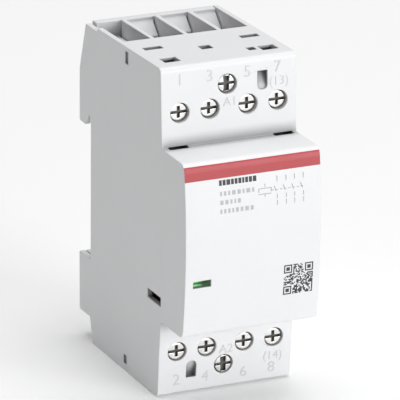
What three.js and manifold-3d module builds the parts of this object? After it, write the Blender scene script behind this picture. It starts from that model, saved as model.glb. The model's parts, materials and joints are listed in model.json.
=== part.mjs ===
// DIN rail contactor: a two-module, four-pole installation contactor.
// Millimetres. +X right, +Y towards the rail, +Z up. The origin is the middle of the rail seat,
// so the part's front faces -Y and the rail's centre line runs along X through the origin.

import * as THREE from 'three';
import { mergeVertices } from 'three/addons/utils/BufferGeometryUtils.js';
import Module from 'manifold-3d';

const wasm = await Module();
wasm.setup();

// ---- Driving dimensions -------------------------------------------------------------------

// Case
const caseWidth = 36;
const caseHeight = 85;
const caseDepth = 65; // nose front to the back of the rail hook
const topAboveRail = 43.1; // top of the case above the rail's centre line
const hookDepth = 7.1; // how far the rail hook and foot stand behind the rail seat
const noseStep = 14.7; // the nose's height in front of the shoulders
const noseTop = 23.1;
const noseBottom = -21.4;
const noseBow = 1.5; // how much the nose's face bows from top to bottom
const noseRadius = 2.2;
const shoulderLean = 0.8; // the upper shoulder leans back this far over its height
const topFall = 1.1; // the top falls this far from front to back
const shoulderRadius = 1.6;
const wall = 1.5;
const noseWall = 1.8;
const shelfWall = 1.5; // between the terminals and the mechanism
const shoulderWall = 3.8; // the shoulders are thick, because they hold the screws
const clearance = 0.3; // between pieces that touch

// Terminals
const poleCount = 4;
const dividerWall = 1.2;
const innerPoleShift = 0.55; // the two middle poles stand this far out from their cells' middles
const upperScrewDrop = 11.6; // pole screws below the top
const lowerScrewRise = 11.7; // pole screws above the bottom
const upperCoilScrewDrop = 5.9;
const lowerCoilScrewRise = 6.5;
const coilTerminalX = -0.4;
const screwHeadRadius = 2.2;
const screwHeadHeight = 1.5;
const screwHeadChamfer = 0.12;
const screwHoleRadius = 2.5;
const screwSunk = 1.2; // the head below the shoulder's face
const screwSlotWidth = 0.7;
const screwSlotDepth = 0.9;
const poleCrossArm = { width: 0.8, length: 3.0 };
const coilCrossArm = { width: 1.4, length: 3.7 };
const screwShankRadius = 1.5;
const coilShankRadius = 1.15;
const cageWall = 0.8;
const cageFrontWall = 1.8; // holds the screw's thread
const cageRearWall = 1.3;
const cageHeight = 6.6;
const coilCageHeight = 4.2;
const coilCageWidth = 4.4;
const wireGap = 4.8; // open clamp, from the bar to the cage's rear wall
const coilWireGap = 2.7;
const barSetback = 12; // the clamp bar's front face in front of the rail seat
const barThick = 1.2;
const coilBladeBehindShoulder = 10.8;
const coilBladeThick = 0.8;
const coilBladeWidth = 2.4;

// Cable entries
const entryFront = 17.3; // front edge of the cable entries in front of the rail seat
const topBackWallFront = 0.65; // the upper back wall's front face behind the rail seat
const bottomBackWallFront = -3.5;
const funnelDepth = 3.5;

// Contacts
const contactBehindNose = 21.9; // front face of the fixed contacts' bars behind the nose's face
const contactButtonRadius = 1.5;
const contactButtonHeight = 0.8;
const contactHalfSpan = 11.2; // contact buttons above and below the mechanism's centre
const contactGap = 3.1;
const carrierTravel = 3.0;
const bridgeThick = 1.0;
const bridgeWidth = 3.4;
const bridgeTravel = 1.0; // how far a bridge can give against its spring
const bridgeSpringLength = 5.2;

// Magnet
const backWall = 2.8;
const coreWidth = 14;
const coreYoke = 2.7;
const coreBehindContacts = 10.8; // pole faces behind the fixed contacts' bars
const coreLegHalf = 4;
const coreOuterLeg = 3;
const windowHalf = 12; // from the mechanism's centre to the outer legs' inner faces
const armatureThick = 2.5;
const armatureHalf = 15;
const bobbinWall = 0.9;
const windingHalfWidth = 14;

// Rail clip
const clipHalfWidth = 8.7;
const clipFront = 1.3;
const clipRear = 4.6;
const clipNoseTop = -16.2;
const clipTailRise = 1.3; // the clip's tail above the bottom of the case
const clipSpringRoom = 8.3;

// Indicator
const indicatorX = -13.45;
const indicatorZ = -7.35;
const indicatorWidth = 4.7;
const indicatorHeight = 1.7;
const flagReach = [-2.4, 3.6]; // the flag's ends on either side of the window's middle

// Worked out
const halfWidth = caseWidth / 2;
const caseBottom = topAboveRail - caseHeight;
const noseFront = hookDepth - caseDepth;
const shoulder = noseFront + noseStep;
const cellFront = shoulder + shoulderWall;
const coilBladeSetback = -shoulder - coilBladeBehindShoulder;
const contactPlane = -noseFront - contactBehindNose;
const coreFront = contactPlane - coreBehindContacts;
const clipTail = caseBottom + clipTailRise;
const innerHalf = halfWidth - wall;
const mechanismZ = (noseTop + noseBottom) / 2;
const cellPitch = caseWidth / poleCount;
const dividers = [-cellPitch, 0, cellPitch];
const outerPole = (cellPitch + dividerWall / 2 + innerHalf) / 2;
const innerPole = cellPitch / 2 + innerPoleShift;
const poles = [-outerPole, -innerPole, innerPole, outerPole];
const cageHalfWidth = Math.min(
  cellPitch - dividerWall / 2 - innerPole,
  innerHalf - outerPole,
) - 0.4;
const barHalfWidth = cageHalfWidth - cageWall - clearance;
const rows = [
  {
    name: 'upper', side: 1, face: topAboveRail, shelf: noseTop,
    screwZ: topAboveRail - upperScrewDrop, coilZ: topAboveRail - upperCoilScrewDrop,
    backWallFront: topBackWallFront,
  },
  {
    name: 'lower', side: -1, face: caseBottom, shelf: noseBottom,
    screwZ: caseBottom + lowerScrewRise, coilZ: caseBottom + lowerCoilScrewRise,
    backWallFront: bottomBackWallFront,
  },
];

// ---- Solids and joins ---------------------------------------------------------------------

function solidOf(geometry) {
  const bare = geometry.index ? geometry.clone() : geometry;
  bare.deleteAttribute('normal');
  bare.deleteAttribute('uv');
  const merged = mergeVertices(bare, 1e-4);
  return new wasm.Manifold(new wasm.Mesh({
    numProp: 3,
    vertProperties: Float32Array.from(merged.attributes.position.array),
    triVerts: Uint32Array.from(merged.index.array),
  }));
}

function geometryOf(solid) {
  const mesh = solid.getMesh();
  const geometry = new THREE.BufferGeometry();
  geometry.setAttribute('position', new THREE.BufferAttribute(mesh.vertProperties, 3));
  geometry.setIndex(new THREE.BufferAttribute(mesh.triVerts, 1));
  geometry.computeVertexNormals();
  return geometry;
}

const join = (first, ...others) => others.reduce((sum, next) => sum.add(next), first);
const cut = (body, ...tools) => tools.reduce((rest, tool) => rest.subtract(tool), body);

// A box between two values on each axis, in either order.
function block([x0, x1], [y0, y1], [z0, z1]) {
  const geometry = new THREE.BoxGeometry(Math.abs(x1 - x0), Math.abs(y1 - y0), Math.abs(z1 - z0));
  geometry.translate((x0 + x1) / 2, (y0 + y1) / 2, (z0 + z1) / 2);
  return solidOf(geometry);
}

// An outline whose corners [u, v, radius] may be rounded.
function outline(corners) {
  const shape = new THREE.Shape();
  corners.forEach(([u, v, radius = 0], i) => {
    const here = new THREE.Vector2(u, v);
    const before = new THREE.Vector2(...corners.at(i - 1)).sub(here).normalize();
    const after = new THREE.Vector2(...corners[(i + 1) % corners.length]).sub(here).normalize();
    const start = here.clone().addScaledVector(before, radius);
    const end = here.clone().addScaledVector(after, radius);
    if (i === 0) shape.moveTo(start.x, start.y);
    else shape.lineTo(start.x, start.y);
    if (radius) shape.quadraticCurveTo(u, v, end.x, end.y);
  });
  shape.closePath();
  return shape;
}

function extruded(corners, depth, segments) {
  return new THREE.ExtrudeGeometry(outline(corners), {
    depth, bevelEnabled: false, curveSegments: segments,
  });
}

// A side outline of [y, z] corners, extruded along X.
function alongX(corners, [x0, x1], segments = 6) {
  const geometry = extruded(corners, x1 - x0, segments);
  geometry.applyMatrix4(new THREE.Matrix4().makeBasis(
    new THREE.Vector3(0, 1, 0), new THREE.Vector3(0, 0, 1), new THREE.Vector3(1, 0, 0),
  ));
  geometry.translate(x0, 0, 0);
  return solidOf(geometry);
}

// A front outline of [x, z] corners, extruded along Y.
function alongY(corners, [y0, y1], segments = 6) {
  const geometry = extruded(corners, y1 - y0, segments);
  geometry.applyMatrix4(new THREE.Matrix4().makeBasis(
    new THREE.Vector3(1, 0, 0), new THREE.Vector3(0, 0, 1), new THREE.Vector3(0, -1, 0),
  ));
  geometry.translate(0, y1, 0);
  return solidOf(geometry);
}

// A round rod along Y.
function rodY(radius, [y0, y1], [x, z], segments = 24) {
  const geometry = new THREE.CylinderGeometry(radius, radius, y1 - y0, segments);
  geometry.translate(x, (y0 + y1) / 2, z);
  return solidOf(geometry);
}

// A round rod along X.
function rodX(radius, [x0, x1], [y, z], segments = 16) {
  const geometry = new THREE.CylinderGeometry(radius, radius, x1 - x0, segments);
  geometry.rotateZ(Math.PI / 2);
  geometry.translate((x0 + x1) / 2, y, z);
  return solidOf(geometry);
}

// A wire of round section along a curve.
function wire(curve, radius, steps, sides = 6) {
  const section = new THREE.Shape();
  for (let i = 0; i < sides; i += 1) {
    const angle = (2 * Math.PI * i) / sides;
    const [u, v] = [radius * Math.cos(angle), radius * Math.sin(angle)];
    if (i === 0) section.moveTo(u, v);
    else section.lineTo(u, v);
  }
  section.closePath();
  return solidOf(new THREE.ExtrudeGeometry(section, { steps, extrudePath: curve }));
}

class Helix extends THREE.Curve {
  constructor(radius, length, turns) {
    super();
    this.radius = radius;
    this.length = length;
    this.turns = turns;
  }

  getPoint(t) {
    const angle = 2 * Math.PI * this.turns * t;
    return new THREE.Vector3(
      this.radius * Math.cos(angle), this.radius * Math.sin(angle), this.length * t,
    );
  }
}

// ---- Case ---------------------------------------------------------------------------------

// The nose's face at a height, set back by a wall.
const noseFace = (z, inset = 0) => {
  const share = (z - mechanismZ) / ((noseTop - noseBottom) / 2);
  return noseFront + inset + noseBow * share * share;
};

function noseFaceCorners(from, to, inset) {
  const steps = 8;
  return Array.from({ length: steps - 1 }, (_, i) => {
    const z = from + ((to - from) * (i + 1)) / steps;
    return [noseFace(z, inset), z];
  });
}

const topBackCorner = [3.1, topAboveRail - topFall];
const hookOutline = [[hookDepth, 28.8], [hookDepth, 15, 0.6], [3.5, 14.9], [0.9, 18.1], [0, 16.7]];
const footTop = -19.7;
const footBottom = caseBottom + 6.5;
const bottomRear = -1.5;
const footFront = 0.4;
const footOutline = [[0, footTop], [hookDepth, footTop, 0.6], [hookDepth - 0.2, footBottom, 0.6],
  [footFront, footBottom + 0.1], [bottomRear, caseBottom]];
const bottomRelief = { from: -36, to: -36.7, height: 0.5 };

// The whole side outline, from the top back corner clockwise to the top front one.
function caseOutline() {
  return [
    topBackCorner, ...hookOutline, ...footOutline,
    [bottomRelief.from, caseBottom], [bottomRelief.to, caseBottom + bottomRelief.height],
    [shoulder + 1.4, caseBottom + bottomRelief.height, 0.6],
    [shoulder, noseBottom - 1], [shoulder - 0.2, noseBottom, 0.4],
    [noseFace(noseBottom), noseBottom, noseRadius],
    ...noseFaceCorners(noseBottom + noseRadius, noseTop - noseRadius, 0),
    [noseFace(noseTop), noseTop, noseRadius], [shoulder - 0.2, noseTop, 0.2],
    [shoulder + shoulderLean, topAboveRail, shoulderRadius],
  ];
}

function mechanismRoom() {
  const top = noseTop - shelfWall;
  const bottom = noseBottom + shelfWall;
  return alongX([
    [50, top], [50, bottom], [noseFace(bottom, noseWall), bottom],
    ...noseFaceCorners(bottom, top, noseWall), [noseFace(top, noseWall), top],
  ], [-innerHalf, innerHalf]);
}

// The room behind the terminals and the mechanism, where the rear base stands.
function baseRoom() {
  const front = -backWall - clearance;
  return alongX([
    [topBackWallFront - clearance, 60], [50, 60], [50, -80],
    [bottomBackWallFront - clearance, -80], [bottomBackWallFront - clearance, noseBottom],
    [front, noseBottom], [front, noseTop], [topBackWallFront - clearance, noseTop],
  ], [-innerHalf, innerHalf]);
}

// The sides of each terminal cell.
function cellSides(i) {
  const edges = [-innerHalf, ...dividers, innerHalf];
  const isDivider = (k) => (k > 0 && k < poleCount ? dividerWall / 2 : 0);
  return [edges[i] + isDivider(i), edges[i + 1] - isDivider(i + 1)];
}

// A cell's room, with its cable entry open to the top or the bottom of the case.
function terminalRoom(row, i) {
  const sides = cellSides(i);
  const lid = row.face - row.side * (wall + (row.side > 0 ? topFall : 0));
  const room = block(sides, [cellFront, 50], [row.shelf, lid]);
  const entry = block(sides, [-entryFront, 50], [lid - row.side, row.face + row.side * 5]);
  return join(room, entry);
}

// The stepped hole that a screw's head turns in.
function screwHole(row, x, z, shankRadius) {
  const seat = shoulder + screwSunk + screwHeadHeight + clearance;
  return join(
    rodY(screwHoleRadius, [shoulder - 2, seat], [x, z], 28),
    rodY(shankRadius + clearance, [seat - 0.5, cellFront + 1], [x, z], 20),
  );
}

// The coil terminal's nest between the two middle cells, and its wire's way in.
function coilRoom(row) {
  const x = coilTerminalX;
  const half = coilCageWidth / 2 + clearance;
  const tall = coilCageHeight / 2 + clearance;
  const blade = -coilBladeSetback;
  const wireFrom = blade + coilBladeThick + 0.4;
  return join(
    block([x - half, x + half], [cellFront - 0.5, blade + coilBladeThick + coilWireGap + 2],
      [row.coilZ - tall, row.coilZ + tall]),
    block([x - 1.5, x + 1.5], [wireFrom, wireFrom + 2.3], [row.coilZ, row.face + row.side * 5]),
    block([x - 1.5, x + 1.5], [wireFrom, wireFrom + 3.1],
      [row.face - row.side * (slotLip + topFall), row.face + row.side * 5]),
    block([x - coilBladeWidth / 2 - clearance, x + coilBladeWidth / 2 + clearance],
      [blade - clearance, blade + coilBladeThick + clearance],
      [row.coilZ, row.shelf - row.side * (shelfWall + 1)]),
  );
}

// Slots in the top and bottom, as [x, y, width, length, depth].
const faceSlots = [
  [-12.4, -25.2, 4.8, 2.3, 1.2], [13.4, -25.2, 4.8, 2.3, 1.2],
  [-12.7, -36, 4.1, 3.8, 6], [13.3, -36, 4.1, 3.8, 6], [9.2, -35.4, 2, 2.5, 1.8],
];
const throughSlotDepth = 3; // a slot deeper than this comes through into its terminal cell
const slotLip = 0.9; // what stands over the room behind a slot's far edge

function faceSlot(row, [x, y, width, length, depth]) {
  const share = (y - topBackCorner[0]) / (shoulder - topBackCorner[0]);
  const face = row.side > 0 ? row.face - topFall * (1 - share) : row.face;
  const slot = block([x - width / 2, x + width / 2], [y - length / 2, y + length / 2],
    [face - row.side * depth, face + row.side * 5]);
  if (depth < throughSlotDepth) return slot;
  return join(slot, block([x - width / 2, x + width / 2], [y, y + length / 2 + 2],
    [face - row.side * depth, face - row.side * slotLip]));
}

// The sloped groove in a shoulder, deepest at its outer end and round at its inner one.
function shoulderGroove(x, outer, inner, innerDepth) {
  const half = 1.3;
  const deep = shoulderWall - 0.8;
  const ramp = alongX([[shoulder - 1, outer], [shoulder + deep, outer],
    [shoulder + innerDepth, inner], [shoulder - 1, inner]], [x - half, x + half]);
  const roundEnd = alongY([[x - half, outer], [x + half, outer], [x + half, inner, half * 0.98],
    [x - half, inner, half * 0.98]], [shoulder - 2, shoulder + deep + 1]);
  return ramp.intersect(roundEnd);
}

function caseSlots() {
  const ends = halfWidth + 1;
  const outside = (from, to, y, z) => block([from, to], y, z);
  const sides = [[-ends, -innerHalf + 1], [innerHalf - 1, ends]];
  const shallow = [[-ends, -halfWidth + 0.7], [halfWidth - 0.7, ends]];
  const slots = [];
  sides.forEach(([from, to]) => slots.push(outside(from, to, [-43.3, -35.4], [-17.5, -15.2])));
  shallow.forEach(([from, to]) => slots.push(
    outside(from, to, [-23, -21.2], [topAboveRail - 4.8, topAboveRail - 1.7]),
    outside(from, to, [-22.8, -21], [caseBottom + 1.9, caseBottom + 4.2]),
  ));
  [-13.7, 14.2].forEach((x) => slots.push(
    block([x - 2.5, x + 2.5], [shoulder - 1.5, shoulder - 0.3], [noseTop - shelfWall - 1, noseTop + 2]),
    block([x - 2.5, x + 2.5], [shoulder - 1, shoulder + shoulderWall - 1], [noseTop - 0.9, noseTop + 0.15]),
  ));
  slots.push(
    shoulderGroove(8.9, topAboveRail - 3.7, topAboveRail - 8.4, 0.9),
    shoulderGroove(-9.1, caseBottom + 4.3, caseBottom + 8.6, 1.4),
    block([-ends, -innerHalf + 0.5], [-4, 20], [topAboveRail - topFall - 0.7, 60]),
    block([indicatorX - indicatorWidth / 2, indicatorX + indicatorWidth / 2],
      [noseFront - 2, noseFront + 4],
      [indicatorZ - indicatorHeight / 2, indicatorZ + indicatorHeight / 2]),
  );
  return slots;
}

// The slot in a shelf that a pole's bar comes through.
function barSlot(row, x) {
  const reach = barHalfWidth + clearance;
  return block([x - reach, x + reach],
    [-barSetback - clearance, -barSetback + barThick + clearance],
    [row.shelf + row.side, row.shelf - row.side * (shelfWall + 1)]);
}

function frontHousing() {
  let housing = cut(alongX(caseOutline(), [-halfWidth, halfWidth]), mechanismRoom(), baseRoom());
  rows.forEach((row) => {
    poles.forEach((x, i) => {
      housing = cut(housing, terminalRoom(row, i), barSlot(row, x),
        screwHole(row, x, row.screwZ, screwShankRadius));
    });
    housing = cut(housing, coilRoom(row),
      screwHole(row, coilTerminalX, row.coilZ, coilShankRadius),
      ...faceSlots.map((slot) => faceSlot(row, slot)));
  });
  return cut(housing, ...caseSlots());
}

// The sloping lead-in behind a cable entry.
function funnel(i) {
  const [x0, x1] = cellSides(i);
  const front = topBackWallFront - funnelDepth;
  const top = topAboveRail - topFall - 0.5;
  return alongX([[topBackWallFront + 0.5, top], [front, top - 3.6], [front, top - 5.2],
    [topBackWallFront + 0.5, top - 6]], [x0 + clearance, x1 - clearance]);
}

const clipRoomHalf = clipHalfWidth + clearance;
const springPost = { half: 2.6, bottom: footBottom + 0.5, top: footBottom + 2.1 };
const clipWindow = { half: 3.2, bottom: clipTail + 2.2, top: springPost.top + clipSpringRoom };

function rearBase() {
  const half = innerHalf - clearance;
  const body = alongX([
    [topBackWallFront, topBackCorner[1]], topBackCorner, ...hookOutline, ...footOutline,
    [bottomBackWallFront, caseBottom], [bottomBackWallFront, noseBottom], [-backWall, noseBottom],
    [-backWall, noseTop], [topBackWallFront, noseTop],
  ], [-half, half]);
  const ledge = block([cellSides(0)[0] + clearance, cellSides(0)[1] - clearance],
    [topBackWallFront - 5.2, topBackWallFront + 0.5], [topAboveRail - 5.2, topAboveRail - 7.4]);
  const clipRoom = block([-clipRoomHalf, clipRoomHalf],
    [clipFront - clearance, clipRear + clearance], [footTop + 5, caseBottom - 2]);
  const post = block([-springPost.half, springPost.half],
    [clipFront - clearance - 0.5, clipRear + clearance + 0.5], [springPost.bottom, springPost.top]);
  return join(cut(join(body, ledge, funnel(1), funnel(2), funnel(3)), clipRoom), post);
}

// ---- Rail clip ----------------------------------------------------------------------------

function railClip() {
  const { half, bottom, top } = clipWindow;
  const plate = alongX([
    [clipFront, clipNoseTop, 0.3], [clipFront + 1, clipNoseTop], [clipRear, clipNoseTop - 2.6],
    [clipRear, clipTail + 1], [clipRear - 1, clipTail], [clipFront, clipTail],
  ], [-clipHalfWidth, clipHalfWidth], 4);
  const window = block([-half, half], [-5, 20], [bottom, top]);
  const tailCut = (side) => block([side * (clipHalfWidth + 1), side * 5], [-5, 20],
    [clipTail - 1, footBottom - 1]);
  return cut(plate, window, tailCut(1), tailCut(-1));
}

function clipSpring() {
  const radius = 1.1;
  const wireRadius = 0.2;
  const from = springPost.top + clearance + wireRadius;
  const to = clipWindow.top - clearance - wireRadius;
  return wire(new Helix(radius, to - from, 6), wireRadius, 54, 5)
    .translate(0, (clipFront + clipRear) / 2, from);
}

// ---- Terminals ----------------------------------------------------------------------------

// A screw with a slot across its head and a shorter cross arm, at its own origin on its axis.
function terminalScrew(shankRadius, crossArm, tip) {
  const head = shoulder + screwSunk;
  const neck = head + screwHeadHeight;
  const slot = (halfX, halfZ) => block([-halfX, halfX], [head - 1, head + screwSlotDepth],
    [-halfZ, halfZ]);
  const profile = [[0, head], [screwHeadRadius - screwHeadChamfer, head],
    [screwHeadRadius, head + screwHeadChamfer],
    [screwHeadRadius, neck], [shankRadius, neck], [shankRadius, tip - 0.5],
    [shankRadius - 0.5, tip], [0, tip]];
  const turned = new THREE.LatheGeometry(profile.map(([r, y]) => new THREE.Vector2(r, y)), 24);
  return cut(solidOf(turned), slot(screwHeadRadius + 1, screwSlotWidth / 2),
    slot(crossArm.width / 2, crossArm.length / 2));
}

// A clamp cage: a square ring that the wire goes through, threaded on its screw.
function clampCage(x, z, { barFront, barDepth, gap, halfWidth: half, height, shankRadius }) {
  const innerFront = barFront - 1.5 + clearance;
  const innerRear = barFront + barDepth + gap;
  const span = [z - height / 2, z + height / 2];
  return cut(
    block([x - half, x + half], [innerFront - cageFrontWall, innerRear + cageRearWall], span),
    block([x - half + cageWall, x + half - cageWall], [innerFront, innerRear],
      [span[0] - 1, span[1] + 1]),
    rodY(shankRadius + clearance, [innerFront - cageFrontWall - 1, innerFront + 0.5], [x, z], 20),
  );
}

const poleClamp = {
  barFront: -barSetback, barDepth: barThick, gap: wireGap,
  halfWidth: cageHalfWidth, height: cageHeight, shankRadius: screwShankRadius,
};
const coilClamp = {
  barFront: -coilBladeSetback, barDepth: coilBladeThick, gap: coilWireGap,
  halfWidth: coilCageWidth / 2, height: coilCageHeight, shankRadius: coilShankRadius,
};

// A pole's bar, from its clamp through the shelf and forward to its fixed contact.
function fixedContact(row, x) {
  const s = row.side;
  const clampEnd = row.screwZ + s * (cageHeight / 2 + 0.4);
  const run = row.shelf - s * (shelfWall + 0.5);
  const button = mechanismZ + s * contactHalfSpan;
  const inner = button - s * (contactButtonRadius + 0.3);
  const rear = -barSetback;
  const front = -contactPlane;
  const bar = alongX([
    [rear, clampEnd], [rear + barThick, clampEnd], [rear + barThick, run - s * barThick],
    [front + barThick, run - s * barThick], [front + barThick, inner], [front, inner],
    [front, run], [rear, run],
  ], [x - barHalfWidth, x + barHalfWidth]);
  return join(bar, rodY(contactButtonRadius, [front - contactButtonHeight, front + 0.2], [x, button], 16));
}

function coilBlade(row) {
  const x = coilTerminalX;
  const inner = row.shelf - row.side * (shelfWall + 4.2);
  return block([x - coilBladeWidth / 2, x + coilBladeWidth / 2],
    [-coilBladeSetback, -coilBladeSetback + coilBladeThick],
    [row.coilZ + row.side * (coilCageHeight / 2 - 0.2), inner]);
}

// ---- Moving contacts ----------------------------------------------------------------------

const bridgeRear = -contactPlane - contactButtonHeight * 2 - contactGap;
const bridgeFront = bridgeRear - bridgeThick;
const bridgeSpringFront = bridgeFront - clearance - bridgeSpringLength;
const windowFront = bridgeSpringFront - clearance;
const carrierFront = windowFront - 1.4;
const armatureFront = -coreFront - carrierTravel - 0.2 - armatureThick;
const carrierRear = armatureFront - clearance;
const pinPlace = [carrierRear - 1.9, mechanismZ];
const tongueHalf = 5;

function contactBridge(x) {
  const reach = contactHalfSpan + contactButtonRadius + 0.4;
  const button = (side) => rodY(contactButtonRadius, [bridgeRear - 0.2, bridgeRear + contactButtonHeight],
    [x, mechanismZ + side * contactHalfSpan], 16);
  return join(
    block([x - bridgeWidth / 2, x + bridgeWidth / 2], [bridgeFront, bridgeRear],
      [mechanismZ - reach, mechanismZ + reach]),
    button(1), button(-1),
  );
}

function contactCarrier() {
  const half = innerHalf - 0.6;
  const tall = 5.5;
  const span = [mechanismZ - tall, mechanismZ + tall];
  const windows = poles.map((x) => block([x - bridgeWidth / 2 - clearance, x + bridgeWidth / 2 + clearance],
    [windowFront, bridgeRear + clearance], [span[0] - 1, span[1] + 1]));
  const tongueRoom = block([-tongueHalf - clearance, tongueHalf + clearance],
    [pinPlace[0] - 2.2, carrierRear + 1], [mechanismZ - 3.3, mechanismZ + 3.3]);
  const pinHole = rodX(1.3, [-half - 1, half + 1], pinPlace, 16);
  return cut(block([-half, half], [carrierFront, carrierRear], span), ...windows, tongueRoom, pinHole);
}

function coilSpring(from, to, radius, wireRadius, turns, steps) {
  const geometry = wire(new Helix(radius, to - from, turns), wireRadius, turns * steps, 5);
  return geometry.rotate(-90, 0, 0).translate(0, from, 0);
}

// ---- Magnet -------------------------------------------------------------------------------

function armature() {
  const rear = armatureFront + armatureThick;
  const plate = block([-coreWidth / 2, coreWidth / 2], [armatureFront, rear],
    [mechanismZ - armatureHalf, mechanismZ + armatureHalf]);
  const tongue = block([-tongueHalf, tongueHalf], [pinPlace[0] - 1.9, armatureFront + 0.5],
    [mechanismZ - 3, mechanismZ + 3]);
  return cut(join(plate, tongue), rodX(1.3, [-20, 20], pinPlace, 16));
}

function fixedCore() {
  const rear = -backWall - clearance;
  const [front, yoke] = [-coreFront, rear - coreYoke];
  const outer = windowHalf + coreOuterLeg;
  const z = (offset) => mechanismZ + offset;
  return alongX([
    [rear, z(-outer)], [rear, z(outer)], [front, z(outer)], [front, z(windowHalf)],
    [yoke, z(windowHalf)], [yoke, z(coreLegHalf)], [front, z(coreLegHalf)],
    [front, z(-coreLegHalf)], [yoke, z(-coreLegHalf)], [yoke, z(-windowHalf)],
    [front, z(-windowHalf)], [front, z(-outer)],
  ], [-coreWidth / 2, coreWidth / 2]);
}

const bobbinFront = -coreFront + 0.4;
const bobbinRear = -backWall - clearance * 2 - coreYoke;
const legRoom = { x: coreWidth / 2 + clearance, z: coreLegHalf + clearance };
const sleeve = { x: legRoom.x + bobbinWall, z: legRoom.z + bobbinWall };

function ring(outerX, outerZ, innerX, innerZ, y) {
  const span = (half) => [mechanismZ - half, mechanismZ + half];
  return cut(block([-outerX, outerX], y, span(outerZ)),
    block([-innerX, innerX], [y[0] - 1, y[1] + 1], span(innerZ)));
}

function coilBobbin() {
  const flange = (y) => ring(windingHalfWidth + 1, windowHalf - clearance, legRoom.x, legRoom.z, y);
  return join(
    ring(sleeve.x, sleeve.z, legRoom.x, legRoom.z, [bobbinFront, bobbinRear]),
    flange([bobbinFront, bobbinFront + bobbinWall]), flange([bobbinRear - bobbinWall, bobbinRear]),
  );
}

function coilWinding() {
  const y = [bobbinFront + bobbinWall + clearance, bobbinRear - bobbinWall - clearance];
  const [x, z] = [windingHalfWidth, windowHalf - 1.2];
  const round = alongY([[-x, mechanismZ - z, 2.5], [x, mechanismZ - z, 2.5],
    [x, mechanismZ + z, 2.5], [-x, mechanismZ + z, 2.5]], y);
  return cut(round, block([-sleeve.x - clearance, sleeve.x + clearance], [y[0] - 1, y[1] + 1],
    [mechanismZ - sleeve.z - clearance, mechanismZ + sleeve.z + clearance]));
}

// The lead from a coil blade to the winding, round the end of the armature.
function coilLead(row) {
  const s = row.side;
  const radius = 0.4;
  const bladeEnd = row.shelf - s * (shelfWall + 4.2);
  const winding = mechanismZ + s * (windowHalf - 1.2 + clearance + radius);
  const x = coreWidth / 2 + 2.4;
  const curve = new THREE.CatmullRomCurve3([
    new THREE.Vector3(coilTerminalX, -coilBladeSetback + coilBladeThick + 0.9, bladeEnd + s * 0.6),
    new THREE.Vector3(3, -coilBladeSetback + 3, bladeEnd + s * 0.2),
    new THREE.Vector3(x - 1, -coreFront - 1.8, bladeEnd - s * 0.3),
    new THREE.Vector3(x, -coreFront, winding + s * 2.2),
    new THREE.Vector3(x, -coreFront + 2.6, winding + s * 0.9),
    new THREE.Vector3(x, -coreFront + 4.2, winding + s * 0.2),
  ]);
  return wire(curve, radius, 20, 6);
}

// ---- Indicator and electronics ------------------------------------------------------------

const flagPivot = [noseFace(indicatorZ, noseWall) + 4.6, indicatorZ];

function indicatorLens() {
  const inner = noseFace(indicatorZ, noseWall);
  const [w, h] = [indicatorWidth / 2, indicatorHeight / 2];
  const x = (reach) => [indicatorX - reach, indicatorX + reach];
  const z = (reach) => [indicatorZ - reach, indicatorZ + reach];
  return join(block(x(w + 0.3), [inner + 0.5, inner + 1.1], z(h + 0.6)),
    block(x(w - 0.1), [noseFront + 0.9, inner + 0.6], z(h - 0.1)));
}

// A drum segment with two colour fields, on a pin across the nose.
function indicatorFlag() {
  const [y, z] = flagPivot;
  const x = flagReach.map((reach) => indicatorX + reach);
  const drum = rodX(3.1, x, [y, z], 24);
  const keep = block(x, [y - 4, y + 1.6], [z - 2.6, z + 2.6]);
  return cut(drum.intersect(keep), rodX(0.8, [x[0] - 1, x[1] + 1], [y, z], 12));
}

function indicatorPin() {
  const [y, z] = flagPivot;
  return rodX(0.5, [-innerHalf + clearance, indicatorX + flagReach[1] + 0.7], [y, z], 12);
}

function rectifierBoard() {
  const y = noseFace(noseTop, noseWall) + 0.8;
  const x = [0.5, innerHalf - 0.5];
  const board = block(x, [y, y + 1.2], [-16.5, 7]);
  const parts = [[4, 3.4, -12, 3], [9.5, 2.2, -12, 2.6], [5, 2, -4, 2], [11, 3, -3, 2.4], [7, 2.5, 3.4, 2]];
  return join(board, ...parts.map(([px, high, pz, half]) => block([px - half, px + half],
    [y + 1, y + 1.2 + high], [pz - half * 0.8, pz + half * 0.8])));
}

// ---- Assembly -----------------------------------------------------------------------------

const finishes = {
  housing: { color: 0xf2f2f2, roughness: 0.5, metalness: 0 },
  base: { color: 0xe4e4e4, roughness: 0.55, metalness: 0 },
  clip: { color: 0xcfcfcf, roughness: 0.5, metalness: 0 },
  inner: { color: 0x3a3a3c, roughness: 0.6, metalness: 0 },
  screw: { color: 0xc8c8c8, roughness: 0.25, metalness: 1 },
  cage: { color: 0xb4b2a8, roughness: 0.4, metalness: 1 },
  copper: { color: 0xc08a60, roughness: 0.35, metalness: 1 },
  steel: { color: 0x8c8f94, roughness: 0.45, metalness: 1 },
  spring: { color: 0xa9abad, roughness: 0.3, metalness: 1 },
  winding: { color: 0xa85a32, roughness: 0.35, metalness: 1 },
  board: { color: 0x2f6f45, roughness: 0.5, metalness: 0 },
  flag: { color: 0x3f9c4b, roughness: 0.5, metalness: 0 },
  lens: { color: 0xeaf4ea, roughness: 0.1, metalness: 0 },
};

const contactor = new THREE.Group();

function place(parent, name, finish, solid, position = [0, 0, 0]) {
  const material = new THREE.MeshStandardMaterial(finishes[finish]);
  const mesh = new THREE.Mesh(geometryOf(solid), material);
  mesh.name = name;
  mesh.position.set(...position);
  parent.add(mesh);
}

function addCase() {
  const group = new THREE.Group();
  place(group, 'front_housing', 'housing', frontHousing());
  place(group, 'rear_base', 'base', rearBase());
  place(group, 'rail_clip', 'clip', railClip());
  place(group, 'clip_spring', 'spring', clipSpring());
  contactor.add(group);
}

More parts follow.
